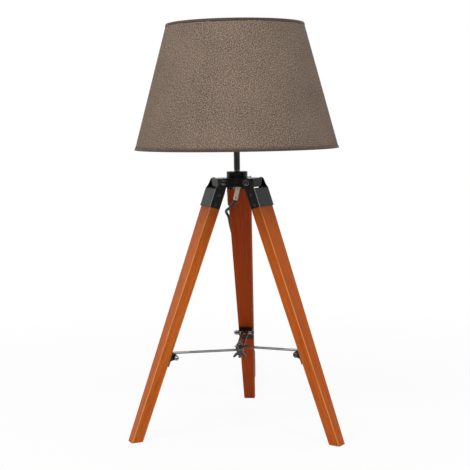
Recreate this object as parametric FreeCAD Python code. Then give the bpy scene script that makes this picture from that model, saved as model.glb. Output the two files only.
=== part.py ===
"""Tripod table lamp: three hinged wooden legs with a slotted-strap spreader, a cast hub, a stem and
a tapered drum shade. Millimetres, +Z up, front towards -Y. The origin is the centre of the bottom of
the lamp's bounding box, on the table; the stem's axis stands at (0, AXIS_Y).

Most pieces are drawn round the stem's axis or upright in one leg's own frame, then placed.
"""
import FreeCAD, Part
import math
import os

V = FreeCAD.Vector
UP = V(0, 0, 1)
ALONG_X, ALONG_Y = V(1, 0, 0), V(0, 1, 0)

# --- Driving dimensions ---------------------------------------------------------------------------
LAMP_HEIGHT = 650.0
SHADE_HEIGHT = 196.0
SHADE_TOP_R, SHADE_BOTTOM_R = 108.5, 162.0
SHADE_WALL = 1.6
STEM_R = 5.0
LEG_AZIMUTHS = {"left": 210.0, "right": 330.0, "rear": 90.0}
LEG_TILT = 20.4                      # from the vertical
LEG_THICK = 17.6
LEG_TOP_W, LEG_FOOT_W = 36.8, 18.6   # across, in the ferrule and at the floor
HINGE_R, HINGE_Z = 32.5, 401.7       # the leg hinge, from the stem's axis and the floor
FERRULE_END = 43.0                   # down the leg from the hinge
SHEET = 1.5                          # ferrules, spreader straps and brackets
HUB_TOP, HUB_BOTTOM, LUG_TOP = 418.0, 394.0, 408.0
PIN_DOWN, PIN_IN = 281.7, 16.0       # spreader pin: down the leg from the hinge, inside its middle
STRAP_W, STRAP_SLOPE, STRAP_LIFT = 12.5, 3.5, 5.2
STRAP_STEP = 2.7                     # between the straps where they cross
STRAP_LEVEL = {"left": -1, "rear": 0, "right": 1}
BOLT_R = 2.0                         # spreader bolt and pins, M4
HINGE_BOLT_R = 2.5                   # M5
FOLD = 17.0                          # how far a leg folds in, in degrees
CORD_R = 2.3

# --- Worked out from them -------------------------------------------------------------------------
TILT = math.radians(LEG_TILT)
LEG_LENGTH = HINGE_Z / math.cos(TILT)
FOOT_R = HINGE_R + HINGE_Z * math.tan(TILT)
FOOT_OUTER = FOOT_R + LEG_THICK / 2 / math.cos(TILT)
AXIS_Y = (SHADE_BOTTOM_R - FOOT_OUTER) / 2
SHADE_Z = LAMP_HEIGHT - SHADE_HEIGHT
SHADE_SLOPE = (SHADE_BOTTOM_R - SHADE_TOP_R) / SHADE_HEIGHT
PIN_R = HINGE_R + PIN_DOWN * math.sin(TILT) - PIN_IN * math.cos(TILT)
PIN_Z = HINGE_Z - PIN_DOWN * math.cos(TILT) - PIN_IN * math.sin(TILT)
SLOPE = math.radians(STRAP_SLOPE)
STRAP_REACH = (PIN_R - STRAP_LIFT * math.sin(SLOPE)) / math.cos(SLOPE)
CROSS_Z = PIN_Z + STRAP_LIFT * math.cos(SLOPE) - STRAP_REACH * math.sin(SLOPE)
PIN_TRAVEL = math.hypot(PIN_R - HINGE_R, HINGE_Z - PIN_Z)
PIN_ANGLE = math.atan2(PIN_R - HINGE_R, HINGE_Z - PIN_Z)
SLIDE = PIN_TRAVEL * (math.sin(PIN_ANGLE) - math.sin(PIN_ANGLE - math.radians(FOLD)))


def shade_r(z):
    """Outer radius of the shade's cover at a height."""
    return SHADE_BOTTOM_R - (z - SHADE_Z) * SHADE_SLOPE


# --- Drawing helpers ------------------------------------------------------------------------------
def outline(plane, start, *steps):
    """A face from a start point, lines to (a, b) and arcs ((mid), (end)). plane is "xy", "xz" or "yz"."""
    def at(p):
        a, b = p
        return {"xy": V(a, b, 0), "xz": V(a, 0, b), "yz": V(0, a, b)}[plane]

    edges, here = [], at(start)
    for step in (*steps, start):
        if isinstance(step[0], tuple):
            middle, end = at(step[0]), at(step[1])
            edges.append(Part.Arc(here, middle, end).toShape())
        else:
            end = at(step)
            if (end - here).Length < 1e-6:
                continue
            edges.append(Part.LineSegment(here, end).toShape())
        here = end
    return Part.Face(Part.Wire(edges))


def cylinder(r, length, at, along=UP):
    return Part.makeCylinder(r, length, V(*at), along)


def tube(outer, inner, length, at, along=UP):
    return cylinder(outer, length, at, along).cut(cylinder(inner, length, at, along))


def hexagon(across_flats, height, at, along=UP):
    corner = across_flats / math.sqrt(3)
    points = [V(corner * math.cos(math.radians(a)), corner * math.sin(math.radians(a)), 0)
              for a in range(0, 361, 60)]
    prism = Part.Face(Part.makePolygon(points)).extrude(V(0, 0, height))
    prism.Placement = FreeCAD.Placement(V(*at), FreeCAD.Rotation(UP, along))
    return prism


def box(x, y, z):
    """A box from (low, high) pairs."""
    return Part.makeBox(x[1] - x[0], y[1] - y[0], z[1] - z[0], V(x[0], y[0], z[0]))


def dome(r, height, at, along=UP):
    """A low spherical head on a flat base."""
    sphere_r = (r * r + height * height) / (2 * height)
    angle = math.asin(r / sphere_r) / 2
    half_way = (sphere_r * math.sin(angle), height - sphere_r * (1 - math.cos(angle)))
    head = outline("xz", (0, 0), (r, 0), (half_way, (0, height))).revolve(V(), UP, 360)
    head.Placement = FreeCAD.Placement(V(*at), FreeCAD.Rotation(UP, along))
    return head


def rounded(shape, radius, chosen):
    """The shape with the edges that chosen() picks rounded."""
    edges = [e for e in shape.Edges if chosen(e)]
    return shape.makeFillet(radius, edges)


def ends(edge):
    return [v.Point for v in edge.Vertexes]


def group(shapes):
    return shapes[0] if len(shapes) == 1 else Part.makeCompound(shapes)


def less(shape, *tools):
    """The shape with each tool cut out, as one solid."""
    for tool in tools:
        shape = shape.cut(tool)
    return shape.Solids[0] if len(shape.Solids) == 1 else shape


def placed(shape, placement):
    out = shape.copy()
    out.Placement = placement.multiply(out.Placement)
    return out


def tilted_leg():
    """From a leg's own upright frame (hinge at its origin) to the leg's radial plane."""
    return FreeCAD.Placement(V(HINGE_R, 0, HINGE_Z), FreeCAD.Rotation(ALONG_Y, -LEG_TILT))


def round_axis(azimuth):
    """From a radial plane along +X to its place round the stem's axis."""
    return FreeCAD.Placement(V(), FreeCAD.Rotation(UP, azimuth))


def leg_half_width(down):
    """Half the leg's width at a distance down from the hinge."""
    share = max(0.0, (down - FERRULE_END) / (LEG_LENGTH - FERRULE_END))
    return (LEG_TOP_W + (LEG_FOOT_W - LEG_TOP_W) * share) / 2


# --- Hub and stem ---------------------------------------------------------------------------------
LUG_HALF, LUG_REACH, LUG_CORNER = 18.0, 39.0, 7.5
BOSS_R, NIPPLE_R = 16.8, 5.0
SLIT_AZIMUTH, SLIT_W = -54.0, 1.2


def hub_casting():
    """Three broad lugs round a boss, with the hinge bores, a stem bore and the clamping slit."""
    bulge = LUG_CORNER * (1 - math.sqrt(0.5))
    far, side = LUG_REACH, LUG_HALF
    lug = outline("xy", (0, -side), (far - LUG_CORNER, -side),
                  ((far - bulge, -side + bulge), (far, -side + LUG_CORNER)), (far, side - LUG_CORNER),
                  ((far - bulge, side - bulge), (far - LUG_CORNER, side)), (0, side))
    lug = placed(lug.extrude(V(0, 0, LUG_TOP - HUB_BOTTOM)), FreeCAD.Placement(V(0, 0, HUB_BOTTOM), FreeCAD.Rotation()))
    star = None
    for azimuth in LEG_AZIMUTHS.values():
        arm = placed(lug, round_axis(azimuth))
        star = arm if star is None else star.fuse(arm)
    star = star.removeSplitter()
    inner_corner = side / math.cos(math.radians(30))
    star = rounded(star, 6.0, lambda e: all(abs(math.hypot(p.x, p.y) - inner_corner) < 0.1 for p in ends(e))
                   and e.Length > 5)
    star = rounded(star, 1.2, lambda e: all(abs(p.z - LUG_TOP) < 0.01 for p in ends(e)))
    star = rounded(star, 0.8, lambda e: all(abs(p.z - HUB_BOTTOM) < 0.01 for p in ends(e)))
    boss = cylinder(BOSS_R, HUB_TOP - HUB_BOTTOM, (0, 0, HUB_BOTTOM))
    boss = rounded(boss, 1.0, lambda e: abs(e.BoundBox.ZMin - HUB_TOP) < 0.01)
    hub = less(star.fuse(boss), cylinder(NIPPLE_R, HUB_TOP - HUB_BOTTOM, (0, 0, HUB_BOTTOM)))
    slit = placed(box((NIPPLE_R - 1, BOSS_R + 2), (-SLIT_W / 2, SLIT_W / 2), (LUG_TOP + 0.8, HUB_TOP + 1)),
                  round_axis(SLIT_AZIMUTH))
    hub = less(hub, slit)
    for azimuth in LEG_AZIMUTHS.values():
        bore = cylinder(HINGE_BOLT_R + 0.05, 60, (HINGE_R, -30, HINGE_Z), ALONG_Y)
        hub = less(hub, placed(bore, round_axis(azimuth)))
    return less(hub, grub_screw())


def grub_screw():
    """A small screw beside the slit that keeps the stem from turning."""
    screw = cylinder(1.75, BOSS_R - NIPPLE_R, (NIPPLE_R, 0, LUG_TOP + 4.6), ALONG_X)
    screw = less(screw, cylinder(0.9, 1.5, (BOSS_R - 1.5, 0, LUG_TOP + 4.6), ALONG_X))
    return placed(screw, round_axis(SLIT_AZIMUTH - 36))


STEM_FOOT, STEM_TOP, STEM_BORE = HUB_TOP + 3.0, 476.0, 4.0
NIPPLE_BORE, NIPPLE_END = 3.2, HUB_BOTTOM - 5.0


def stem_nipple():
    """Turned threaded nipple: through the hub, a bare collar below the stem, a spigot inside it."""
    return outline("xz", (NIPPLE_BORE, NIPPLE_END), (NIPPLE_R - 0.3, NIPPLE_END), (NIPPLE_R, NIPPLE_END + 0.3),
                   (NIPPLE_R, STEM_FOOT), (STEM_BORE, STEM_FOOT), (STEM_BORE, STEM_FOOT + 16),
                   (NIPPLE_BORE, STEM_FOOT + 16)).revolve(V(), UP, 360)


def stem_tube():
    tube_ = tube(STEM_R, STEM_BORE, STEM_TOP - STEM_FOOT, (0, 0, STEM_FOOT))
    return less(tube_, stem_nipple())


TAB_RING_R, TAB_RING_THICK = 8.8, 1.2
TAB_W, TAB_LENGTH, TAB_LEAN, TAB_OUT = 7.0, 22.0, 14.0, 6.4
TAB_TURN = 5.5                       # degrees round the stem, from the front


def cord_tab():
    """Ring under the hub with a tongue bent down that the cord is tied to."""
    top = HUB_BOTTOM
    ring = tube(TAB_RING_R, NIPPLE_R, TAB_RING_THICK, (0, 0, top - TAB_RING_THICK))
    tongue = outline("xz", (-TAB_W / 2, 0), (-TAB_W / 2, -TAB_LENGTH + 1.5),
                     ((-TAB_W / 2 + 0.44, -TAB_LENGTH + 0.44), (-TAB_W / 2 + 1.5, -TAB_LENGTH)),
                     (TAB_W / 2 - 1.5, -TAB_LENGTH),
                     ((TAB_W / 2 - 0.44, -TAB_LENGTH + 0.44), (TAB_W / 2, -TAB_LENGTH + 1.5)),
                     (TAB_W / 2, 0)).extrude(V(0, TAB_RING_THICK, 0))
    for hole_z in (-3.5, -TAB_LENGTH + 3.5):
        tongue = tongue.cut(cylinder(1.1, 4, (0, -1, hole_z), ALONG_Y))
    tongue = placed(tongue, FreeCAD.Placement(V(1.5, -TAB_OUT - TAB_RING_THICK, top - 0.3),
                                              FreeCAD.Rotation(ALONG_Y, TAB_LEAN)))
    keep = box((-20, 20), (-20, 20), (top - 40, top))
    tab = ring.fuse(tongue).common(keep).removeSplitter()
    return placed(less(tab), round_axis(TAB_TURN))


def hub_nut():
    """Flat nut that holds the nipple and the tab to the hub."""
    z = HUB_BOTTOM - TAB_RING_THICK - 3.2
    return less(hexagon(12.0, 3.2, (0, 0, z)), cylinder(NIPPLE_R, 3.2, (0, 0, z)))


# --- Lamp holder ----------------------------------------------------------------------------------
HOLDER_Z = 472.0
SHOULDER_Z, SHOULDER_R, SKIRT_R = HOLDER_Z + 27, 22.5, 19.6
MOUTH_Z = SHOULDER_Z + 26
SOCKET_R, SOCKET_DEPTH = 13.3, 18.0
SOCKET_FLOOR = MOUTH_Z - 26          # the core's floor, with the contact tongue on it; the shell starts above


def holder_cap():
    """Domed lower half, screwed on the stem."""
    cap = outline("xz", (STEM_R, HOLDER_Z - 8), (9, HOLDER_Z - 8), (9, HOLDER_Z),
                  ((17, HOLDER_Z + 3.5), (20, HOLDER_Z + 12)), (20, HOLDER_Z + 20), (18, HOLDER_Z + 20),
                  (18, HOLDER_Z + 12), ((15.4, HOLDER_Z + 5.1), (9, HOLDER_Z + 2)),
                  (STEM_R, HOLDER_Z + 2)).revolve(V(), UP, 360)
    return less(cap)


def holder_skirt():
    """Upper half: a shoulder that carries the shade, and a threaded sleeve above it."""
    return outline("xz", (16.5, HOLDER_Z + 20), (21, HOLDER_Z + 20), (SHOULDER_R, HOLDER_Z + 21.5),
                   (SHOULDER_R, SHOULDER_Z), (SKIRT_R, SHOULDER_Z), (SKIRT_R, MOUTH_Z - 1.5),
                   ((SKIRT_R - 0.4, MOUTH_Z - 0.4), (SKIRT_R - 1.5, MOUTH_Z)), (16.5, MOUTH_Z)).revolve(V(), UP, 360)


def holder_core():
    """Insulating core that the screw shell stands in."""
    wall = SOCKET_R + 0.7
    return outline("xz", (0, HOLDER_Z + 14), (15, HOLDER_Z + 14), (16.5, HOLDER_Z + 16), (16.5, MOUTH_Z - 3),
                   (wall, MOUTH_Z - 3), (wall, SOCKET_FLOOR), (0, SOCKET_FLOOR)).revolve(V(), UP, 360)


def holder_contacts():
    """Screw shell and the sprung centre contact."""
    floor = SOCKET_FLOOR
    shell = tube(SOCKET_R + 0.7, SOCKET_R, SOCKET_DEPTH, (0, 0, MOUTH_Z - 3.4 - SOCKET_DEPTH))
    tongue = outline("xz", (-7, floor), (-4.5, floor), (0, floor + 3.2), (3.5, floor + 3.4), (3.5, floor + 4.0),
                     (-0.3, floor + 3.8), (-5, floor + 0.6), (-7, floor + 0.6)).extrude(V(0, 5, 0))
    return group([shell, placed(tongue, FreeCAD.Placement(V(0, -2.5, 0), FreeCAD.Rotation()))])


def shade_ring():
    """Ribbed nut that clamps the shade's spider on the shoulder."""
    low = SHOULDER_Z + SPIDER_THICK
    ring = outline("xz", (SKIRT_R, low), (27.5, low), (27.5, low + 2.2), (24.2, low + 3.2), (24.2, low + 9.5),
                   (SKIRT_R, low + 9.5)).revolve(V(), UP, 360)
    for k in range(24):
        rib = cylinder(0.8, 6.3, (24.4, 0, low + 3.2))
        ring = ring.cut(placed(rib, round_axis(15 * k)))
    return less(ring)


def inner_cable():
    """The lead inside the stem, from the cord's entry to the holder."""
    return cylinder(CORD_R, HOLDER_Z + 10 - NIPPLE_END, (0, 0, NIPPLE_END))


# --- Shade ----------------------------------------------------------------------------------------
SPIDER_THICK, WIRE_R, HEM_HEIGHT, HEM_THICK = 1.6, 1.5, 4.6, 0.6
RING_INSET = SHADE_WALL + WIRE_R + 0.15


def shade_band(low, high, inner, outer):
    """A conical band that follows the shade, between two offsets from its outer face."""
    return outline("xz", (shade_r(low) + inner, low), (shade_r(low) + outer, low), (shade_r(high) + outer, high),
                   (shade_r(high) + inner, high)).revolve(V(), UP, 360)


def shade_cover():
    return shade_band(SHADE_Z, LAMP_HEIGHT, -SHADE_WALL, 0)


def shade_hems():
    """Rolled tape round both rims."""
    return group([shade_band(SHADE_Z, SHADE_Z + HEM_HEIGHT, 0, HEM_THICK),
                  shade_band(LAMP_HEIGHT - HEM_HEIGHT, LAMP_HEIGHT, 0, HEM_THICK)])


def wire_ring(z):
    return Part.makeTorus(shade_r(z) - RING_INSET, WIRE_R, V(0, 0, z))


TOP_RING_Z, BOTTOM_RING_Z = LAMP_HEIGHT - 2.4, SHADE_Z + 2.4


def shade_spider():
    """Flat ring on the holder with three wire arms down to the bottom ring."""
    eye = tube(26.0, SKIRT_R + 0.4, SPIDER_THICK, (0, 0, SHOULDER_Z))
    z_eye = SHOULDER_Z + SPIDER_THICK / 2
    rim = shade_r(BOTTOM_RING_Z) - RING_INSET
    knee, drop = V(31, 0, z_eye), V(rim, 0, BOTTOM_RING_Z) - V(31, 0, z_eye)
    arms = []
    for azimuth in LEG_AZIMUTHS.values():
        level = cylinder(WIRE_R, 8, (23, 0, z_eye), ALONG_X)
        ball = Part.makeSphere(WIRE_R, knee)
        slope = Part.makeCylinder(WIRE_R, drop.Length, knee, drop)
        arms.append(placed(level.fuse([ball, slope]), round_axis(azimuth)))
    spider = eye.fuse(arms).cut(cylinder(SKIRT_R + 0.4, 10, (0, 0, SHOULDER_Z - 5)))
    below_shoulder = cylinder(26.2, 10, (0, 0, SHOULDER_Z - 10))
    above_eye = cylinder(28.0, 10, (0, 0, SHOULDER_Z + SPIDER_THICK))
    return less(spider, below_shoulder, above_eye, wire_ring(BOTTOM_RING_Z))


# --- Legs, each in its own upright frame: hinge at the origin, outward +X, down -Z ------------------
LEG_START = 12.0                     # the wood's top end, below the hinge
EAR_R = 7.0


def leg_wood():
    """Straight-grained tapered leg, cut flat where it stands, with eased long edges."""
    end = LEG_LENGTH + 20
    half_top, half_end = LEG_TOP_W / 2, leg_half_width(end)
    board = outline("yz", (-half_top, -LEG_START), (-half_top, -FERRULE_END), (-half_end, -end),
                    (half_end, -end), (half_top, -FERRULE_END), (half_top, -LEG_START))
    board = board.extrude(V(LEG_THICK, 0, 0))
    board.translate(V(-LEG_THICK / 2, 0, 0))
    return rounded(board, 1.6, lambda e: e.Length > 20 and abs(e.BoundBox.XLength) < 0.01 and
                   e.BoundBox.ZLength > 20)


def ferrule():
    """Sheet channel on the leg's top: a web on the outer face and two cheeks that rise into ears."""
    half, outer = LEG_TOP_W / 2, LEG_THICK / 2
    web_top = 14.0
    cheek = outline("xz", (-EAR_R, -FERRULE_END + 1), (-EAR_R, 0), ((0, EAR_R), (EAR_R, 0)),
                    ((EAR_R + 0.9, -8.0), (outer + SHEET, -web_top)), (outer + SHEET, -FERRULE_END))
    low, high = (placed(cheek.extrude(V(0, SHEET, 0)), FreeCAD.Placement(V(0, y, 0), FreeCAD.Rotation()))
                 for y in (-half - SHEET, half))
    web = box((outer, outer + SHEET), (-half - SHEET, half + SHEET), (-FERRULE_END, -web_top))
    channel = low.fuse([high, web]).removeSplitter()
    channel = rounded(channel, 1.3, lambda e: e.Length > 20 and all(
        abs(p.x - outer - SHEET) < 0.01 and abs(abs(p.y) - half - SHEET) < 0.01 for p in ends(e)))
    return less(channel, cylinder(HINGE_BOLT_R + 0.05, 60, (0, -30, 0), ALONG_Y))


RIVETS_DOWN = (20.0, 36.5)


def ferrule_rivets():
    """Two domed rivets through each cheek into the wood."""
    half = LEG_TOP_W / 2 + SHEET
    rivets = []
    for down in RIVETS_DOWN:
        for side in (-1, 1):
            shank = cylinder(1.5, 9, (1.0, side * (half - 9), -down), ALONG_Y * side)
            rivets.append(less(shank.fuse(dome(2.9, 1.2, (1.0, side * half, -down), ALONG_Y * side))))
    return group(rivets)


def hinge_bolt():
    """Cross-recessed bolt across the lug and both ears, head on the counter-clockwise side."""
    half = LEG_TOP_W / 2 + SHEET
    head = dome(5.0, 3.0, (0, half, 0), ALONG_Y)
    shank = cylinder(HINGE_BOLT_R, 2 * half + 6.5, (0, -half - 6.5, 0), ALONG_Y)
    bolt = head.fuse(shank)
    for turn in (0, 90):
        cut = box((-2.2, 2.2), (half + 1.4, half + 4), (-0.45, 0.45))
        cut.rotate(V(), ALONG_Y, 45 + turn)
        bolt = bolt.cut(cut)
    return less(bolt)


def hinge_nut():
    half = LEG_TOP_W / 2 + SHEET
    washer = cylinder(5.0, 1.0, (0, -half - 1.0, 0), ALONG_Y)
    nut = hexagon(8.0, 4.0, (0, -half - 5.0, 0), ALONG_Y)
    return less(washer.fuse(nut), cylinder(HINGE_BOLT_R, 2 * half, (0, -half - 8, 0), ALONG_Y))


EAR_GAP_HALF = 12.0 - SHEET          # inside of the spreader bracket's ears
BRACKET_UP, BRACKET_DOWN = 7.0, 17.0


def spread_bracket(down):
    """Sheet bracket on the leg's inner face: a base plate and two ears that carry the pin."""
    face, pin = -LEG_THICK / 2, -PIN_IN
    base = box((face - SHEET, face), (-EAR_GAP_HALF - SHEET, EAR_GAP_HALF + SHEET),
               (-down - BRACKET_DOWN, -down + BRACKET_UP))
    ear = outline("xz", (face - 0.2, -down - 9), (face - 0.2, -down + 6.5), (pin + 1, -down + 4.5),
                  ((pin - 4.4, -down), (pin + 1, -down - 4.5)))
    bracket = base.fuse([placed(ear.extrude(V(0, SHEET, 0)), FreeCAD.Placement(V(0, y, 0), FreeCAD.Rotation()))
                         for y in (-EAR_GAP_HALF - SHEET, EAR_GAP_HALF)])
    bracket = less(bracket.removeSplitter(), cylinder(BOLT_R + 0.03, 60, (pin, -30, -down), ALONG_Y))
    return less(bracket, bracket_screws(down))


def bracket_screws(down):
    """Two countersunk wood screws in the base plate, above and below the strap."""
    face = -LEG_THICK / 2
    screws = []
    for z in (-down + 3.2, -down - 12.5):
        head = Part.makeCone(3.2, 1.5, SHEET, V(face - SHEET, 0, z), ALONG_X)
        shank = cylinder(1.5, 11, (face, 0, z), ALONG_X)
        slot = box((face - SHEET - 1, face - SHEET + 0.5), (-2, 2), (z - 0.4, z + 0.4))
        screws.append(less(head.fuse(shank), slot))
    return group(screws)


def spread_pin(down):
    """M4 bolt across the bracket, round head on the clockwise side."""
    half = EAR_GAP_HALF + SHEET
    head = dome(4.0, 2.6, (-PIN_IN, -half, -down), ALONG_Y * -1)
    slot = box((-PIN_IN - 5, -PIN_IN + 5), (-half - 3, -half - 1.4), (-down - 0.5, -down + 0.5))
    return less(head.fuse(cylinder(BOLT_R, 2 * half + 6, (-PIN_IN, -half, -down), ALONG_Y)), slot)


STRAP_EAR_HALF = STRAP_W / 2         # outside of the strap's turned-down ears


def pin_nut(down):
    """Cap nut on the pin's other end, and the two bushes that centre the strap."""
    half = EAR_GAP_HALF + SHEET
    cap = outline("xz", (0, 0), (4, 0), (4, 4.6), ((2.9, 7.3), (0, 8.6))).revolve(V(), UP, 360)
    cap.Placement = FreeCAD.Placement(V(-PIN_IN, half, -down), FreeCAD.Rotation(UP, ALONG_Y))
    cap = cap.common(hexagon(7.6, 9, (-PIN_IN, half, -down), ALONG_Y))
    cap = less(cap, cylinder(BOLT_R, 6, (-PIN_IN, half, -down), ALONG_Y))
    length = EAR_GAP_HALF - STRAP_EAR_HALF - 0.3
    bushes = [tube(3.4, BOLT_R, length, (-PIN_IN, y, -down), ALONG_Y) for y in (-EAR_GAP_HALF, EAR_GAP_HALF - length)]
    return group([cap, *bushes])


# --- Spreader -------------------------------------------------------------------------------------
SLOT_HALF = BOLT_R + 0.7


def strap():
    """Slotted strap in its own frame: pin at the origin, running in along -X, ears turned down."""
    low, high = STRAP_LIFT - SHEET / 2, STRAP_LIFT + SHEET / 2
    inner, half = -STRAP_REACH - 1.5, STRAP_W / 2
    plate = outline("xy", (2.8, -half), (2.8, half), (inner, half), ((inner - half, 0), (inner, -half)))
    plate = placed(plate.extrude(V(0, 0, SHEET)), FreeCAD.Placement(V(0, 0, low), FreeCAD.Rotation()))
    outer = -STRAP_REACH + SLIDE + 3
    slot = outline("xy", (inner, -SLOT_HALF), (outer, -SLOT_HALF), ((outer + SLOT_HALF, 0), (outer, SLOT_HALF)),
                   (inner, SLOT_HALF), ((inner - SLOT_HALF, 0), (inner, -SLOT_HALF)))
    slot = placed(slot.extrude(V(0, 0, 10)), FreeCAD.Placement(V(0, 0, low - 4), FreeCAD.Rotation()))
    ear = outline("xz", (-4, high), (-4, 0), ((0, -4), (4, 0)), (2.8, high))
    ears = [placed(ear.extrude(V(0, SHEET, 0)), FreeCAD.Placement(V(0, y, 0), FreeCAD.Rotation()))
            for y in (-half, half - SHEET)]
    return less(plate.fuse(ears).removeSplitter(), slot, cylinder(BOLT_R + 0.05, 30, (0, -15, 0), ALONG_Y))


HEAD_Z = CROSS_Z + STRAP_STEP + SHEET / 2 + 0.95
NUT_Z = CROSS_Z - STRAP_STEP - SHEET / 2 - 0.5


def centre_bolt():
    """Round-headed bolt where the straps cross."""
    head = dome(5.2, 4.2, (0, 0, HEAD_Z + 1))
    return less(head.fuse(cylinder(BOLT_R, HEAD_Z + 1 - (NUT_Z - 12), (0, 0, NUT_Z - 12))))


def centre_washers():
    return group([tube(6.0, BOLT_R, 1.0, (0, 0, HEAD_Z)), tube(6.0, BOLT_R, 1.0, (0, 0, NUT_Z - 1))])


def wing_nut():
    """Hub and two swept wings, wings downward."""
    top = NUT_Z - 1.05
    hub = outline("xz", (BOLT_R + 0.05, top), (4.6, top), (4.6, top - 2), (3.6, top - 6.5),
                  (BOLT_R + 0.05, top - 6.5)).revolve(V(), UP, 360)
    wing = outline("xz", (3.0, top - 1.2), ((6.6, top - 3.2), (9.6, top - 7.2)), ((10.6, top - 9.6), (8.8, top - 10.6)),
                   ((5.6, top - 8.6), (3.0, top - 6.0)))
    wing = wing.extrude(V(0, 1.8, 0))
    wing.translate(V(0, -0.9, 0))
    return less(hub.fuse([placed(wing, round_axis(0)), placed(wing, round_axis(180))]))


# --- Cord -----------------------------------------------------------------------------------------
# Drawn round the stem's axis. What the cord does on the table lies on one line behind the rear foot:
# behind() measures along that line, across it and up.
BACK, ACROSS = V(-0.086, 0.9963, 0), V(0.9963, 0.086, 0)
FLOOR_Z = CORD_R + 0.1


def behind(along, across, z):
    return V(0, FOOT_R, z) + BACK * along + ACROSS * across


LEAD_START, LEAD_ACROSS = 47.5, -7.8
CORD_UPPER = [
    (0.0, 0.0, 389.0), (0.0, 0.0, 376.5), (-4.0, 3.4, 364.5), (-11.5, 10.6, 354.6), (-21.0, 23.0, 348.6),
    (-26.3, 38.5, 342.8), (-26.3, 56.0, 334.0), (-22.0, 72.5, 320.0), (-12.5, 86.5, 298.0), (-7.0, 98.0, 272.0),
    (-5.0, 107.7, 246.5),
]
CORD_LOWER = [
    (-5.0, 128.2, 191.5), (-5.3, 137.5, 166.0), (-6.4, 149.8, 131.0), (-8.0, 165.7, 86.0), (-9.0, 180.5, 48.0),
    (-9.4, 191.0, 23.5), (-9.6, 203.5, 8.5), behind(LEAD_START - 12.5, LEAD_ACROSS, FLOOR_Z),
    behind(LEAD_START, LEAD_ACROSS, FLOOR_Z),
]


def tangent_path(points):
    """Straight runs joined by arcs as large as their runs allow, with the arcs' radii."""
    points = [V(*p) for p in points]
    edges, here, radii = [], points[0], []
    for before, corner, after in zip(points, points[1:], points[2:]):
        a, b = (corner - before), (after - corner)
        turn = a.getAngle(b)
        cut = 0.45 * min(a.Length, b.Length)
        a.normalize()
        b.normalize()
        start, end = corner - a * cut, corner + b * cut
        radii.append(cut / math.tan(turn / 2))
        middle = corner + (b - a).normalize() * (radii[-1] / math.cos(turn / 2) - radii[-1])
        edges += [Part.LineSegment(here, start).toShape(), Part.Arc(start, middle, end).toShape()]
        here = end
    edges.append(Part.LineSegment(here, points[-1]).toShape())
    return Part.Wire(edges), radii


def swept(wire, radius=CORD_R):
    """A round tube along a wire."""
    first = wire.OrderedEdges[0]
    start, direction = first.valueAt(first.FirstParameter), first.tangentAt(first.FirstParameter)
    shell = Part.BRepOffsetAPI.MakePipeShell(wire)
    shell.add(Part.Wire(Part.makeCircle(radius, start, direction)))
    shell.build()
    shell.makeSolid()
    return shell.shape()


def report_tube(name, wire, solid):
    print("%s: length %.0f, volume over section %.0f" % (name, wire.Length, solid.Volume / (math.pi * CORD_R ** 2)))


def cord_stretch(name, points):
    wire, radii = tangent_path(points)
    solid = swept(wire)
    report_tube(name, wire, solid)
    print("  radii", [round(r) for r in radii])
    return solid


# The hank: loops in four layers side by side, each layer winding in or out at a steady rate. A turn
# starts at the bottom of the waist and goes back, up, forward along the top, and down again.
HANK_LAYERS = (1.0, 1.5, 1.5, 1.0)   # turns in each layer
HANK_HALF, LEAD_IN, LEAD_OUT = 34.5, 26.0, 34.0
HANK_MIDDLE = LEAD_START + LEAD_IN + HANK_HALF
FOLD_R, FOLD_STEP, LAYER_STEP, WAIST = 14.0, 5.8, -LEAD_ACROSS / 1.5, 8.5
RUN_SHARE = HANK_HALF / (4 * HANK_HALF + 2 * math.pi * 18.2)
FOLD_SHARE = 0.5 - 2 * RUN_SHARE
PLUG_ACROSS, PLUG_Z, PLUG_TILT = 5.4, 8.5, 10.3
HANK_R = FOLD_R + FOLD_STEP * (HANK_LAYERS[0] + RUN_SHARE)   # where the hank lies on the table


def smooth(x):
    x = min(1.0, max(0.0, x))
    return x * x * (3 - 2 * x)


def hank_winding(turn):
    """The loop's radius and its place across the hank, at a number of turns."""
    start, inward, r = 0.0, True, FOLD_R + FOLD_STEP * HANK_LAYERS[0]
    across = -1.5 * LAYER_STEP
    for turns in HANK_LAYERS[:-1]:
        start += turns
        across += LAYER_STEP * smooth((turn - start + RUN_SHARE) / (2 * RUN_SHARE))
    start = 0.0
    for turns in HANK_LAYERS:
        here = turn - start if turns is HANK_LAYERS[-1] and start > 3 else min(turn - start, turns)
        r += FOLD_STEP * here * (-1 if inward else 1)
        start, inward = start + turns, not inward
        if turn <= start:
            break
    return r, across


def hank_point(turn):
    """A point of the cord's middle line in the hank."""
    r, across = hank_winding(turn)
    share = turn % 1.0
    half = share if share < 0.5 else share - 0.5
    side = 1 if share < 0.5 else -1
    if half <= RUN_SHARE or half >= RUN_SHARE + FOLD_SHARE:
        along = half / RUN_SHARE if half <= RUN_SHARE else (0.5 - half) / RUN_SHARE
        height = r - WAIST * (1 + math.cos(math.pi * along)) / 2
        up = -side * height if half <= RUN_SHARE else side * height
        along = side * along * HANK_HALF
    else:
        angle = math.pi * (half - RUN_SHARE) / FOLD_SHARE - math.pi / 2
        along, up = side * (HANK_HALF + r * math.cos(angle)), side * r * math.sin(angle)
    return behind(HANK_MIDDLE + along, across, FLOOR_Z + HANK_R + up)


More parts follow.
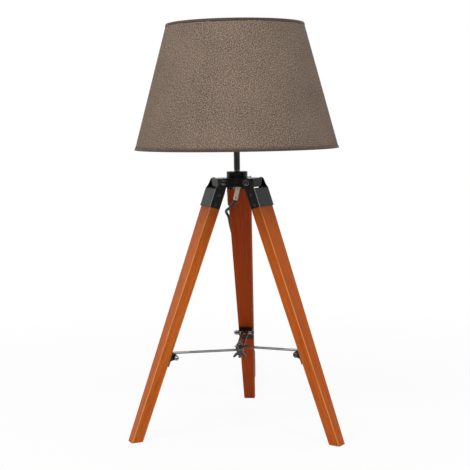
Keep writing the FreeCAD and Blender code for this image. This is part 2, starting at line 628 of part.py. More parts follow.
def biarc(p, t, q, u):
    """Two arcs that leave p along t and reach q along u."""
    v, s = q - p, t + u
    bend = 2 * (1 - t.dot(u))
    reach = (v.dot(v) / (2 * v.dot(s)) if bend < 1e-9 else
             (math.sqrt(v.dot(s) ** 2 + bend * v.dot(v)) - v.dot(s)) / bend)
    middle = (p + t * reach + q - u * reach) * 0.5
    arcs = []
    for start, end, corner in ((p, middle, p + t * reach), (middle, q, q - u * reach)):
        chord, bow = end - start, corner - (start + end) * 0.5
        if bow.Length < 1e-4:
            arcs.append(Part.LineSegment(start, end).toShape())
        else:
            half = math.atan2(bow.Length, chord.Length / 2)
            rise = chord.Length / 2 * math.tan(half / 2)
            arcs.append(Part.Arc(start, (start + end) * 0.5 + bow * (rise / bow.Length), end).toShape())
    return arcs


def hank_wire():
    """Lead-in on the table, all turns, and the lead-out that rises to the plug."""
    total = sum(HANK_LAYERS)
    marks = [0, RUN_SHARE, RUN_SHARE + FOLD_SHARE / 2, RUN_SHARE + FOLD_SHARE]
    turns = sorted({round(k + h + m, 9) for k in range(int(total)) for h in (0, 0.5) for m in marks})
    turns = [-RUN_SHARE] + turns + [total, total + RUN_SHARE]
    knots = []
    for turn in turns:
        step = hank_point(turn + 1e-4) - hank_point(turn - 1e-4)
        knots.append((hank_point(turn), step.normalize()))
    knots[0] = (knots[0][0], BACK)
    knots[-1] = (knots[-1][0], BACK)
    first = behind(LEAD_START, LEAD_ACROSS, FLOOR_Z)
    plug = plug_place()
    last, rising = plug.Base, plug.Rotation.multVec(ALONG_X)
    before_plug = last - rising * 2 * CORD_R
    edges = [Part.LineSegment(first, knots[0][0]).toShape()]
    for (p, t), (q, u) in zip(knots, knots[1:]):
        edges += biarc(p, t, q, u)
    edges += biarc(knots[-1][0], BACK, before_plug, rising)
    edges.append(Part.LineSegment(before_plug, last).toShape())
    return Part.Wire(edges)


def least_gap(wire):
    """The least gap between the tube's surface and itself, a few diameters or more further on."""
    points = wire.discretize(Distance=1.0)
    skip, cells = 14, {}
    for i, p in enumerate(points):
        cells.setdefault((round(p.x / 8), round(p.y / 8), round(p.z / 8)), []).append(i)
    nearest = 99.0
    for (a, b, c), members in cells.items():
        near = [j for x in (-1, 0, 1) for y in (-1, 0, 1) for z in (-1, 0, 1) for j in cells.get((a + x, b + y, c + z), [])]
        for i in members:
            for j in near:
                if j - i > skip:
                    nearest = min(nearest, (points[i] - points[j]).Length)
    return nearest - 2 * CORD_R


def cord_hank():
    wire = hank_wire()
    solid = swept(wire)
    report_tube("hank", wire, solid)
    print("  least gap of the hank to itself %.2f" % least_gap(wire))
    return solid


def hank_tie():
    """Fabric tie round the hank's waist."""
    half_w = 1.5 * LAYER_STEP + CORD_R + 0.35
    half_h = FOLD_R + FOLD_STEP * max(HANK_LAYERS) - WAIST + CORD_R + 0.6
    middle = FLOOR_Z + HANK_R

    def ring(grow, r):
        w, h = half_w + grow, half_h + grow
        c = r * (1 - math.sqrt(0.5))
        return outline("yz", (w - r, -h), ((w - c, -h + c), (w, -h + r)), (w, h - r), ((w - c, h - c), (w - r, h)),
                       (-w + r, h), ((-w + c, h - c), (-w, h - r)), (-w, -h + r), ((-w + c, -h + c), (-w + r, -h)))
    band = ring(1.0, 4.0).extrude(V(7, 0, 0)).cut(ring(0, 3.0).extrude(V(7, 0, 0)))
    band.translate(V(-3.5, 0, 0))
    place = FreeCAD.Placement(behind(HANK_MIDDLE, 0, middle), FreeCAD.Rotation(BACK, ACROSS * -1, UP, "XZY"))
    return placed(less(band), place)


# The switch lies on the rear leg's back: its own frame has the cord along X, running down, and Z
# square to the leg's outer face.
SWITCH_LENGTH = math.dist(CORD_UPPER[-1], CORD_LOWER[0])
SWITCH_W, SWITCH_H, SWITCH_SPLIT = 23.0, 14.0, 6.5
ROCKER_LENGTH, ROCKER_W, ROCKER_TILT = 20.0, 11.0, 8.0


def switch_place():
    """Its frame: origin in the cord's middle line, half way between the two stretches of cord."""
    upper, lower = V(*CORD_UPPER[-1]), V(*CORD_LOWER[0])
    down = (lower - upper).normalize()
    off_leg = V(0, math.cos(TILT), math.sin(TILT))
    return FreeCAD.Placement((upper + lower) * 0.5, FreeCAD.Rotation(down, V(), off_leg, "XZY"))


def switch_shell(low, high, round_z, hollow):
    """One half of the housing between two heights, rounded at its outer face."""
    half, end, w = SWITCH_LENGTH / 2, 6.0, SWITCH_W / 2
    body = outline("xy", (-half, -end), (-half + 12, -w), (half - 12, -w), (half, -end), (half, end),
                   (half - 12, w), (-half + 12, w), (-half, end)).extrude(V(0, 0, high - low))
    body.translate(V(0, 0, low))
    body = rounded(body, 3.0, lambda e: abs(e.BoundBox.ZLength - (high - low)) < 0.01)
    body = rounded(body, 1.6, lambda e: all(abs(p.z - round_z) < 0.01 for p in ends(e)))
    bed = cylinder(CORD_R, SWITCH_LENGTH, (-SWITCH_LENGTH / 2, 0, 0), ALONG_X)
    return less(body, bed, box((-15, 15), (-8, 8), hollow))


def switch_base():
    return placed(switch_shell(-SWITCH_SPLIT, 0, -SWITCH_SPLIT, (1.8 - SWITCH_SPLIT, 1)), switch_place())


SWITCH_TOP = SWITCH_H - SWITCH_SPLIT
ROCKER_Z = SWITCH_TOP - 4.0


def switch_cover():
    """The outer half, with the rocker's opening and the pivot that it turns on."""
    half_l, half_w = ROCKER_LENGTH / 2 + 1.0, ROCKER_W / 2 + 0.4
    opening = box((-half_l, half_l), (-half_w, half_w), (0, SWITCH_TOP + 1))
    shell = less(switch_shell(0, SWITCH_TOP, SWITCH_TOP, (-1, SWITCH_TOP - 1.8)), opening)
    pivot = cylinder(1.0, 17, (0, -8.5, ROCKER_Z), ALONG_Y)
    return placed(shell.fuse(pivot).removeSplitter(), switch_place())


def switch_rocker():
    """Rocker with two slanting halves, pressed in at its lower end, on a pivot across the housing."""
    l, w, top = ROCKER_LENGTH / 2, ROCKER_W / 2, SWITCH_TOP - ROCKER_Z
    face = outline("xz", (-l + 1.6, -2.4), (l - 1.6, -2.4), (l, top + 1.4), ((l / 2, top + 0.5), (0, top + 0.2)),
                   ((-l / 2, top + 0.5), (-l, top + 1.4)))
    rocker = face.extrude(V(0, 2 * w, 0))
    rocker.translate(V(0, -w, 0))
    rocker.rotate(V(), ALONG_Y, ROCKER_TILT)
    rocker = less(rocker, cylinder(1.05, 30, (0, -15, 0), ALONG_Y))
    return placed(placed(rocker, FreeCAD.Placement(V(0, 0, ROCKER_Z), FreeCAD.Rotation())), switch_place())


# The plug lies on one slanting side: its own frame has the cord along X, towards the pins.
PLUG_RELIEF, PLUG_BACK, PLUG_WIDE, PLUG_FACE = 22.0, 12.5, 17.6, 60.0
PLUG_THICK, PIN_LENGTH, PIN_RADIUS, PIN_SPACING = 13.0, 19.0, 2.0, 18.6
PIN_ROOT, PIN_ROOT_R, PIN_TIP = 8.0, 1.6, 1.0   # each pin's thinner root in the body, and its pointed tip


def plug_place():
    tilt = math.radians(PLUG_TILT)
    forward = BACK * math.cos(tilt) + UP * math.sin(tilt)
    start = behind(HANK_MIDDLE + HANK_HALF + LEAD_OUT, PLUG_ACROSS, PLUG_Z)
    return FreeCAD.Placement(start, FreeCAD.Rotation(forward, V(), ACROSS, "XZY"))


def plug_body():
    """Flat two-pin plug with a tapered, ribbed strain relief."""
    low, high = PLUG_RELIEF, PLUG_FACE
    body = outline("xy", (low, -PLUG_BACK), (high - 10, -PLUG_WIDE), (high, -PLUG_WIDE + 2), (high, PLUG_WIDE - 2),
                   (high - 10, PLUG_WIDE), (low, PLUG_BACK))
    body = body.extrude(V(0, 0, PLUG_THICK))
    body.translate(V(0, 0, -PLUG_THICK / 2))
    body = rounded(body, 4.0, lambda e: e.BoundBox.ZLength > PLUG_THICK - 0.1)
    for side in (-1, 1):
        body = body.cut(cylinder(PIN_ROOT_R, PIN_ROOT + 1, (high - PIN_ROOT, side * PIN_SPACING / 2, 0), ALONG_X))
    body = rounded(body, 2.5, lambda e: all(abs(abs(p.z) - PLUG_THICK / 2) < 0.01 for p in ends(e)) and
                   e.BoundBox.ZLength < 0.01)
    relief = Part.makeCone(CORD_R + 0.9, 5.2, PLUG_RELIEF + 2, V(), ALONG_X)
    for k in range(4):
        relief = relief.cut(tube(9, CORD_R + 1.1 + 0.45 * k, 1.2, (3.0 + 4.4 * k, 0, 0), ALONG_X))
    return placed(less(body.fuse(relief)), plug_place())


def plug_pins():
    pins = []
    for side in (-1, 1):
        y, tip_x = side * PIN_SPACING / 2, PLUG_FACE + PIN_LENGTH - PIN_TIP
        root = cylinder(PIN_ROOT_R, PIN_ROOT, (PLUG_FACE - PIN_ROOT, y, 0), ALONG_X)
        pin = cylinder(PIN_RADIUS, tip_x - PLUG_FACE, (PLUG_FACE, y, 0), ALONG_X)
        tip = Part.makeCone(PIN_RADIUS, 1.2, PIN_TIP, V(tip_x, y, 0), ALONG_X)
        pins.append(root.fuse([pin, tip]).removeSplitter())
    return placed(group(pins), plug_place())


def lamp_frame(shape):
    """From the stem's axis to the lamp's own origin."""
    return placed(shape, FreeCAD.Placement(V(0, AXIS_Y, 0), FreeCAD.Rotation()))


def export(name, shape):
    shape = lamp_frame(shape)
    assert shape.isValid() and shape.Volume > 0, name
    shape.exportStep("parts/%s.step" % name)


def main():
    os.makedirs("parts", exist_ok=True)
    for make in (hub_casting, grub_screw, stem_nipple, stem_tube, cord_tab, hub_nut, holder_cap, holder_skirt,
                 holder_core, holder_contacts, shade_ring, inner_cable, shade_cover, shade_hems, shade_spider,
                 centre_bolt, centre_washers, wing_nut, cord_hank, hank_tie, switch_base, switch_cover, switch_rocker,
                 plug_body, plug_pins):
        export(make.__name__, make())
    export("cord_upper", cord_stretch("upper cord", CORD_UPPER))
    export("cord_lower", cord_stretch("lower cord", CORD_LOWER))
    export("shade_top_ring", wire_ring(TOP_RING_Z))
    export("shade_bottom_ring", wire_ring(BOTTOM_RING_Z))
    above_floor = box((-400, 400), (-400, 400), (0, 700))
    for side, azimuth in LEG_AZIMUTHS.items():
        spot = round_axis(azimuth)
        on_leg = spot.multiply(tilted_leg())
        lift = STRAP_LEVEL[side] * STRAP_STEP
        down = PIN_DOWN - lift / math.cos(TILT)
        rivets, screws = ferrule_rivets(), bracket_screws(down)
        export("leg_" + side, placed(less(leg_wood(), rivets, screws), on_leg).common(above_floor).Solids[0])
        export("ferrule_" + side, placed(less(ferrule(), rivets), on_leg))
        for name, shape in (("ferrule_rivets_", rivets), ("hinge_bolt_", hinge_bolt()), ("hinge_nut_", hinge_nut()),
                            ("spread_bracket_", spread_bracket(down)), ("bracket_screws_", screws),
                            ("spread_pin_", spread_pin(down)), ("pin_nut_", pin_nut(down))):
            export(name + side, placed(shape, on_leg))
        at_pin = FreeCAD.Placement(V(PIN_R - lift * math.tan(TILT), 0, PIN_Z + lift), FreeCAD.Rotation(ALONG_Y, -STRAP_SLOPE))
        export("strap_" + side, placed(strap(), spot.multiply(at_pin)))


main()
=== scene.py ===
# %% [markdown]
# # A tripod table lamp
#
# The lamp's solids come from CAD: wooden legs, black ironwork, a short stem and a tapered shade. This
# file dresses them. Each step first says what the real piece or finish is, and why it is made this way.
# All lengths are metres, +Z is up, and the lamp's front faces -Y.

# %% Start
import math

import bpy
import numpy as np
from mathutils import Matrix, Vector


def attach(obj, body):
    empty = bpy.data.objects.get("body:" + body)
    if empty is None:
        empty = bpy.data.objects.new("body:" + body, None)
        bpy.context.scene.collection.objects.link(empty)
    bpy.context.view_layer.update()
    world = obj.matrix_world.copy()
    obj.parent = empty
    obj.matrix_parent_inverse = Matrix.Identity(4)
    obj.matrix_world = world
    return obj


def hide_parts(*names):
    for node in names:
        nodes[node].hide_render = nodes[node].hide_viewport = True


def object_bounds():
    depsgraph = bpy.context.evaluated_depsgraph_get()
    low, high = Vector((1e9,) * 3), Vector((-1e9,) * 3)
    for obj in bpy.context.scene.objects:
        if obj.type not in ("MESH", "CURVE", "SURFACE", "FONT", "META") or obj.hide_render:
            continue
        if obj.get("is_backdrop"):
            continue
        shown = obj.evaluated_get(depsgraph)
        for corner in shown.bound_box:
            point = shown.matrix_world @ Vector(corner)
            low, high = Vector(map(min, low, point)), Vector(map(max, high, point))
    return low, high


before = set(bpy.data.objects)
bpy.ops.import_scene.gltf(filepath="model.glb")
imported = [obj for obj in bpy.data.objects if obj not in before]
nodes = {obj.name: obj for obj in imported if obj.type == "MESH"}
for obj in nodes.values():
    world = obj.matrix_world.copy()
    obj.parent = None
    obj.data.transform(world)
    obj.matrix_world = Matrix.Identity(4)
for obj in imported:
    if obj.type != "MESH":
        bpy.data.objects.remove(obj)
cad_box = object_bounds()
scene = bpy.context.scene
print("the CAD box is", [round(x, 3) for corner in cad_box for x in corner])

# %% [markdown]
# ## The camera
#
# A long lens a little above the middle of the lamp, turned a few degrees to the lamp's right. The stem
# stands behind the middle of the lamp's footprint, so the camera is placed from the stem's axis.

# %% The camera
AXIS_Y = -0.01464
CAMERA_DISTANCE, CAMERA_HEIGHT = 1.6984, 0.5053
CAMERA_BEARING, CAMERA_HEADING, CAMERA_PITCH, CAMERA_ROLL = 5.456, 5.616, -6.377, -0.848


def turned(degrees, axis):
    """A rotation matrix about one axis."""
    return Matrix.Rotation(math.radians(degrees), 4, axis)


camera = bpy.data.objects.new("camera", bpy.data.cameras.new("camera"))
bearing = math.radians(CAMERA_BEARING)
place = Matrix.Translation(
    (CAMERA_DISTANCE * math.sin(bearing), AXIS_Y - CAMERA_DISTANCE * math.cos(bearing), CAMERA_HEIGHT)
)
camera.matrix_world = (
    place @ turned(CAMERA_HEADING, "Z") @ turned(90 + CAMERA_PITCH, "X") @ turned(CAMERA_ROLL, "Z")
)
camera.data.lens, camera.data.sensor_width = 81.33, 36.0
scene.collection.objects.link(camera)
scene.camera = camera
print("the camera stands %.2f m from the stem" % CAMERA_DISTANCE)

# %% [markdown]
# ## The mains cord
#
# The cord is one soft black lead, 1.86 m long. It leaves the hub straight down, goes round the left edge
# of the rear leg, hangs behind it to an inline switch, and comes to the table. What is left is folded
# into a hank with a tie, as it came from its box, and ends in a plug. One NURBS line gives its shape: a
# few points where it hangs, and points from a formula where it is wound.

# %% The cord's route
CORD_R = 0.0023
FOOT_Y = 0.18189 + AXIS_Y
BACK, ACROSS = np.array([-0.086, 0.9963, 0.0]), np.array([0.9963, 0.086, 0.0])
FLOOR_Z = CORD_R + 0.0001
LEAD_START, LEAD_ACROSS = 0.0475, -0.0078


def behind(along, across, z):
    """A point on the line behind the rear foot: along it, across it, and up."""
    return np.array([0.0, FOOT_Y, z]) + BACK * along + ACROSS * across


hanging_mm = [
    (0.0, 0.0, 389.0), (0.0, 0.0, 381.0), (-2.8, 2.2, 370.5), (-11.0, 8.5, 360.0),
    (-21.0, 20.0, 353.5), (-22.2, 38.0, 347.5), (-20.4, 57.0, 340.5), (-20.2, 72.0, 327.0),
    (-16.5, 84.5, 304.0), (-10.0, 94.5, 277.0),
    (-5.0, 107.7, 246.5), (-5.0, 128.2, 191.5), (-5.3, 137.5, 166.0), (-6.4, 149.8, 131.0),
    (-8.0, 165.7, 86.0), (-9.0, 180.5, 48.0), (-9.4, 191.0, 23.5), (-9.6, 203.5, 8.5),
]
hanging = np.array(hanging_mm) / 1000 + (0, AXIS_Y, 0)
LEAD_IN = 0.0125
lead_in = [behind(LEAD_START - LEAD_IN, LEAD_ACROSS, FLOOR_Z), behind(LEAD_START, LEAD_ACROSS, FLOOR_Z)]
print("the cord hangs on", len(hanging), "points")

# %% [markdown]
# The hank is four layers side by side. Each layer winds in or out at a steady rate, and the next begins
# where it ends. A turn is two straight runs, pinched at the waist by a cosine, and two round folds.

# %% The hank
HANK_LAYERS = np.array([1.0, 1.5, 1.5, 1.0])
FOLD_R, FOLD_STEP, LAYER_STEP, WAIST, HANK_HALF = 0.014, 0.0058, 0.0052, 0.0085, 0.0345
LEAD_TO_HANK = 0.026
HANK_MIDDLE = LEAD_START + LEAD_TO_HANK + HANK_HALF
MEAN_FOLD_R = 0.0182
RUN_SHARE = HANK_HALF / (4 * HANK_HALF + 2 * math.pi * MEAN_FOLD_R)
FOLD_SHARE = 0.5 - 2 * RUN_SHARE
HANK_R = FOLD_R + FOLD_STEP * (HANK_LAYERS[0] + RUN_SHARE)
POINTS_PER_TURN = 24


def hank_points(turn):
    """The cord's middle line after a number of turns: radius, place across and round the loop."""
    ends = np.cumsum(HANK_LAYERS)
    signs = np.array([-1, 1, -1, 1])
    starts = ends - HANK_LAYERS
    inside = np.clip(turn[:, None] - starts, [-1, 0, 0, 0], [*HANK_LAYERS[:3], 2])
    r = FOLD_R + FOLD_STEP * (HANK_LAYERS[0] + inside @ signs)
    climb = np.clip((turn[:, None] - ends[:3] + RUN_SHARE) / (2 * RUN_SHARE), 0, 1)
    across = LAYER_STEP * (np.sum(climb * climb * (3 - 2 * climb), axis=1) - 1.5)
    half, side = turn % 0.5, np.where(turn % 1.0 < 0.5, 1, -1)
    leaving, coming = half <= RUN_SHARE, half >= RUN_SHARE + FOLD_SHARE
    share = np.where(leaving, half, 0.5 - half) / RUN_SHARE
    height = r - WAIST * (1 + np.cos(np.pi * np.minimum(share, 1))) / 2
    angle = np.pi * (half - RUN_SHARE) / FOLD_SHARE - np.pi / 2
    straight = leaving | coming
    along = side * np.where(straight, share * HANK_HALF, HANK_HALF + r * np.cos(angle))
    up = side * np.where(straight, np.where(leaving, -height, height), r * np.sin(angle))
    level = np.array([0, FOOT_Y, FLOOR_Z + HANK_R])
    return level + np.outer(HANK_MIDDLE + along, BACK) + np.outer(across, ACROSS) + np.outer(up, (0, 0, 1))


total_turns = HANK_LAYERS.sum()
steps = int((total_turns + 2 * RUN_SHARE) * POINTS_PER_TURN)
hank = hank_points(np.linspace(-RUN_SHARE, total_turns + RUN_SHARE, steps))
print("the hank has", steps, "points")

# %% The plug's place and the finished line
PLUG_TILT, PLUG_PAST_HANK, PLUG_ACROSS, PLUG_Z = math.radians(10.3), 0.034, 0.0054, 0.0085
LAST_TURN, STRAIGHT_INTO_PLUG = 0.009, 0.014
plug_start = behind(HANK_MIDDLE + HANK_HALF + PLUG_PAST_HANK, PLUG_ACROSS, PLUG_Z)
plug_along = BACK * math.cos(PLUG_TILT) + np.array([0, 0, math.sin(PLUG_TILT)])
last_turn = hank[-1] + BACK * LAST_TURN
before_plug = plug_start - plug_along * STRAIGHT_INTO_PLUG
route = np.vstack([hanging, lead_in, hank, [last_turn, before_plug, plug_start]])


def nurbs_line(name, points, radius):
    """An open NURBS curve of order 3, with the points as its control points.

    Its section is a circle of radius 1, scaled at each point by that point's radius."""
    curve = bpy.data.curves.new(name, "CURVE")
    curve.dimensions = "3D"
    curve.bevel_depth, curve.bevel_resolution, curve.use_fill_caps = 1.0, 5, True
    spline = curve.splines.new("NURBS")
    spline.points.add(len(points) - 1)
    spline.points.foreach_set("co", np.column_stack([points, np.ones(len(points))]).ravel())
    spline.points.foreach_set("radius", np.full(len(points), radius))
    spline.order_u = 3
    spline.use_endpoint_u = True
    spline.resolution_u = 6
    made = bpy.data.objects.new(name, curve)
    scene.collection.objects.link(made)
    return made


mains_cord = nurbs_line("mains_cord", route, CORD_R)
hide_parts("cord_upper", "cord_lower", "cord_hank")
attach(mains_cord, "lamp")
print("the line has", len(route), "control points")

# %% [markdown]
# A mains lead has a tapered sleeve wherever it enters a housing, so that it can't be bent sharply there:
# one under the hub, and one at each end of the switch. Each sleeve is a profile carried along the cord's
# own line.

# %% Surfaces from arrays of points
def surface(name, points, uv=None, joined=(True, True)):
    """Quads between the points of a grid: rows run along the first axis and columns along the second."""
    rows, columns = points.shape[:2]
    spans = [np.arange(count - (not closed)) for count, closed in zip((rows, columns), joined)]
    row, column = np.meshgrid(*spans, indexing="ij")
    corners = [(row, column), (row, column + 1), (row + 1, column + 1), (row + 1, column)]
    faces = np.stack([(r % rows) * columns + c % columns for r, c in corners], axis=-1)
    mesh = bpy.data.meshes.new(name)
    mesh.from_pydata(points.reshape(-1, 3).tolist(), [], faces.reshape(-1, 4).tolist())
    mesh.shade_smooth()
    if uv is not None:
        corner_uv = np.stack([uv[r % rows, c] for r, c in corners], axis=-2)
        mesh.uv_layers.new(name="cloth").data.foreach_set("uv", corner_uv.reshape(-1))
    made = bpy.data.objects.new(name, mesh)
    scene.collection.objects.link(made)
    return made


def round_and_round(profile, angles):
    """A profile of (radius, height) turned round the stem's axis. Radius and height may differ by angle."""
    r, z = np.broadcast_arrays(profile[0], profile[1])
    x, y = r * np.sin(angles), AXIS_Y - r * np.cos(angles)
    return np.stack([x, y, z], axis=-1)


# %% The cord's own line
def line_of(curve_object):
    """The points of a curve's line, read from the curve with no bevel."""
    data = curve_object.data.copy()
    data.bevel_depth = 0
    bare = bpy.data.objects.new("bare", data)
    mesh = bpy.data.meshes.new_from_object(bare)
    points = np.empty(len(mesh.vertices) * 3)
    mesh.vertices.foreach_get("co", points)
    bpy.data.objects.remove(bare)
    return points.reshape(-1, 3)


cord_line = line_of(mains_cord)
cord_run = np.concatenate([[0], np.cumsum(np.linalg.norm(np.diff(cord_line, axis=0), axis=1))])

# %% Its sleeves
SLEEVE_LENGTH, SLEEVE_WIDE, SLEEVE_NARROW, SLEEVE_RIBS = 0.021, 0.0041, 0.0029, 4
GROOVE_DEPTH, SLEEVE_POINTS, BORE_SHARE, A_LITTLE = 0.0006, 49, 0.96, 0.002
SWITCH_TOP_Z, SWITCH_FOOT_Z, HUB_SLEEVE_START = 0.2465, 0.1915, 0.0005


def sleeve(name, start, way):
    """A tapered sleeve on the cord. Its radius falls along it, less a rounded groove between the ribs."""
    share = np.linspace(0, 1, SLEEVE_POINTS)
    groove = GROOVE_DEPTH * np.clip(np.sin(2 * np.pi * SLEEVE_RIBS * share), 0, 1) * (share < 0.95)
    outer = SLEEVE_WIDE + (SLEEVE_NARROW - SLEEVE_WIDE) * share - groove
    inner = np.full(SLEEVE_POINTS, CORD_R * BORE_SHARE)
    share, radius = np.concatenate([share, share[::-1]]), np.concatenate([outer, inner])
    along = start + way * SLEEVE_LENGTH * share
    middle = np.stack([np.interp(along, cord_run, cord_line[:, k]) for k in range(3)], axis=1)
    ahead = np.stack([np.interp(along + way * A_LITTLE, cord_run, cord_line[:, k]) for k in range(3)], axis=1)
    ahead -= middle
    ahead /= np.linalg.norm(ahead, axis=1)[:, None]
    side = np.cross(ahead, (1.0, 0.0, 0.0))
    side /= np.linalg.norm(side, axis=1)[:, None]
    angle = np.linspace(0, 2 * np.pi, 32, endpoint=False)[None, :, None]
    ring = np.cos(angle) * side[:, None] + np.sin(angle) * np.cross(side, ahead)[:, None]
    made = surface(name, middle[:, None] + ring * radius[:, None, None])
    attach(made, "lamp")
    return made


def run_at(height):
    """How far along the cord it first comes down to a height."""
    return float(cord_run[np.argmax(cord_line[:, 2] < height)])


sleeves = [
    sleeve("hub_sleeve", HUB_SLEEVE_START, 1),
    sleeve("switch_upper_sleeve", run_at(SWITCH_TOP_Z), -1),
    sleeve("switch_lower_sleeve", run_at(SWITCH_FOOT_Z), 1),
]
print("the switch is on the cord from %.3f to %.3f m" % (run_at(SWITCH_TOP_Z), run_at(SWITCH_FOOT_Z)))

# %% [markdown]
# The tie is a strip of woven tape, wound once round the hank's waist and closed on itself. Its section
# across the hank is a rounded rectangle, worked out as a superellipse.

# %% The hank's tie
TIE_WIDTH, TIE_THICK, SLACK_W, SLACK_H = 0.0075, 0.0009, 0.00035, 0.0006
tie_half_w = 1.5 * LAYER_STEP + CORD_R + SLACK_W + TIE_THICK / 2
tie_half_h = FOLD_R + FOLD_STEP * HANK_LAYERS.max() - WAIST + CORD_R + SLACK_H + TIE_THICK / 2
around = np.linspace(0, 2 * np.pi, 120, endpoint=False)
SQUARENESS = 0.42
tie_across = tie_half_w * np.sign(np.cos(around)) * np.abs(np.cos(around)) ** SQUARENESS
tie_up = tie_half_h * np.sign(np.sin(around)) * np.abs(np.sin(around)) ** SQUARENESS
edge_turn = np.linspace(0, 2 * np.pi, 16, endpoint=False)
edge_out = TIE_THICK / 2 * np.sin(edge_turn)
edge_along = TIE_WIDTH / 2 * np.cos(edge_turn)
tie_points = (
    np.array([0, FOOT_Y, FLOOR_Z + HANK_R])
    + (HANK_MIDDLE + edge_along)[None, :, None] * BACK
    + (tie_across[:, None] * (1 + edge_out[None, :] / tie_half_w))[..., None] * ACROSS
    + (tie_up[:, None] * (1 + edge_out[None, :] / tie_half_h))[..., None] * np.array([0, 0, 1])
)
hank_tie = surface("hank_tie_tape", tie_points)
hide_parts("hank_tie")
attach(hank_tie, "lamp")
print("the tie is %.1f by %.1f mm" % (2000 * tie_half_w, 2000 * tie_half_h))

# %% [markdown]
# The sleeves and the tie go with the cord: each is attached to the same body, the lamp.

# %% [markdown]
# ## The shade
#
# The shade is a cone of linen cloth, laminated to a stiff pale film, on two wire rings. Its cloth is cut
# flat, as part of a ring, and bent round: so the threads run straight on the flat cut and turn slowly
# against the rim. The glued overlap leaves one faint upright step in the cloth. Each surface is a short
# profile turned round the stem.

# %% The shade's sizes
SHADE_TOP_R, SHADE_BOTTOM_R, SHADE_HEIGHT = 0.1085, 0.162, 0.196
SHADE_Z = 0.65 - SHADE_HEIGHT
CLOTH, FILM = 0.0007, 0.0009
SEAM_AZIMUTH, SEAM_STEP, SEAM_FADE = math.radians(-17.0), 0.0006, 0.010
slant = math.hypot(SHADE_HEIGHT, SHADE_BOTTOM_R - SHADE_TOP_R)
SHARE_OF_RING = (SHADE_BOTTOM_R - SHADE_TOP_R) / slant
FLAT_R = SHADE_BOTTOM_R / SHARE_OF_RING


def shade_radius(z):
    """Outer radius of the cone at a height."""
    return SHADE_BOTTOM_R + (SHADE_TOP_R - SHADE_BOTTOM_R) * (z - SHADE_Z) / SHADE_HEIGHT


print("the shade slants over %.3f m" % slant)

# %% The cloth and the film
COLUMNS, ROWS, RIM_GAP, GLUE = 360, 25, 0.0004, 0.0001
turn = np.linspace(0, 2 * np.pi, COLUMNS + 1)
overlap = SEAM_STEP * np.clip(1 - turn * SHADE_BOTTOM_R / SEAM_FADE, 0, 1)


def cone_shell(name, outside, inside, bump):
    """A closed shell between two cones, each a distance in from the shade's own, with the seam's step."""
    z = np.linspace(SHADE_Z + RIM_GAP, SHADE_Z + SHADE_HEIGHT - RIM_GAP, ROWS)
    heights = np.concatenate([z, z[::-1]])[:, None]
    inset = np.concatenate([np.full(ROWS, outside), np.full(ROWS, inside)])[:, None]
    r = shade_radius(heights) - inset + bump[None, :] * (inset == outside)
    flat_turn = SHARE_OF_RING * (turn - np.pi)[None, :]
    flat_r = FLAT_R - (heights - SHADE_Z) * slant / SHADE_HEIGHT
    uv = np.stack([flat_r * np.sin(flat_turn), flat_r * np.cos(flat_turn)], axis=-1)
    points = round_and_round((r[:, :-1], heights + 0 * r[:, :-1]), SEAM_AZIMUTH + turn[:-1])
    made = surface(name, points, uv)
    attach(made, "lamp")
    return made


shade_cloth = cone_shell("shade_cloth", 0.0, CLOTH, overlap)
shade_film = cone_shell("shade_film", CLOTH + GLUE, CLOTH + FILM, 0 * overlap)
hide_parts("shade_cover")
print("the cloth has", len(shade_cloth.data.polygons), "faces")

# %% [markdown]
# Each rim is bound with a narrow strip of the same cloth, folded over the edge and glued. By hand it never
# comes out quite even, so its lower edge wanders by a fraction of a millimetre.

# %% The bound rims
HEM_HEIGHT, HEM_THICK = 0.0042, 0.0006


def bound_rim(name, rim_z, inward):
    """A folded strip over a rim: out over the edge and down the inside. inward is +1 at the lower rim."""
    wander = 0.0003 * np.sin(5 * turn[:-1] + 1.0) + 0.0002 * np.sin(17 * turn[:-1])
    height = HEM_HEIGHT + wander[None, :]
    out, wall = HEM_THICK, CLOTH + FILM + 0.0003
    steps = np.array([
        (out * 0.3, 1.0), (out, 0.86), (out, 0.5), (out, 0.14), (out * 0.8, 0.03), (0.0, 0.0),
        (-wall * 0.6, 0.0), (-wall - 0.0001, 0.05), (-wall, 0.5), (-wall, 0.8),
        (-wall + 0.0003, 0.82), (-wall * 0.5, 0.7), (0.0, 0.8),
    ])
    z = rim_z + inward * (steps[:, 1:2] * height)
    r = shade_radius(z) + steps[:, :1]
    made = surface(name, round_and_round((r, z), SEAM_AZIMUTH + turn[:-1][None, :]))
    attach(made, "lamp")
    return made


rims = [bound_rim("shade_lower_rim", SHADE_Z, 1), bound_rim("shade_upper_rim", SHADE_Z + SHADE_HEIGHT, -1)]
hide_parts("shade_hems")

# %% [markdown]
# ## Finishes
#
# A finish is worked out as arithmetic on fields, a field being a value that varies over the surface. The
# class below lets a socket be added and multiplied like a number, and each step becomes a Math node.
# Colours are written as they look on a screen.

# %% Fields and finishes
class Field:
    """A value that varies over a surface. Sums and products of fields add Math nodes."""

    def __init__(self, finish, socket):
        self.finish, self.socket = finish, socket

    def math(self, operation, *others):
        return self.finish.node("Math", {"operation": operation}, dict(enumerate([self, *others])))

    def __add__(self, other):
        return self.math("ADD", other)

    def __mul__(self, other):
        return self.math("MULTIPLY", other)

    def __sub__(self, other):
        return self.math("SUBTRACT", other)

    def __rsub__(self, other):
        return self * -1 + other

    __radd__, __rmul__ = __add__, __mul__

    def between(self, low, high):
        """0 below low, 1 above high, and even in between."""
        return self.finish.node("MapRange", {}, {"Value": self, "From Min": low, "From Max": high})


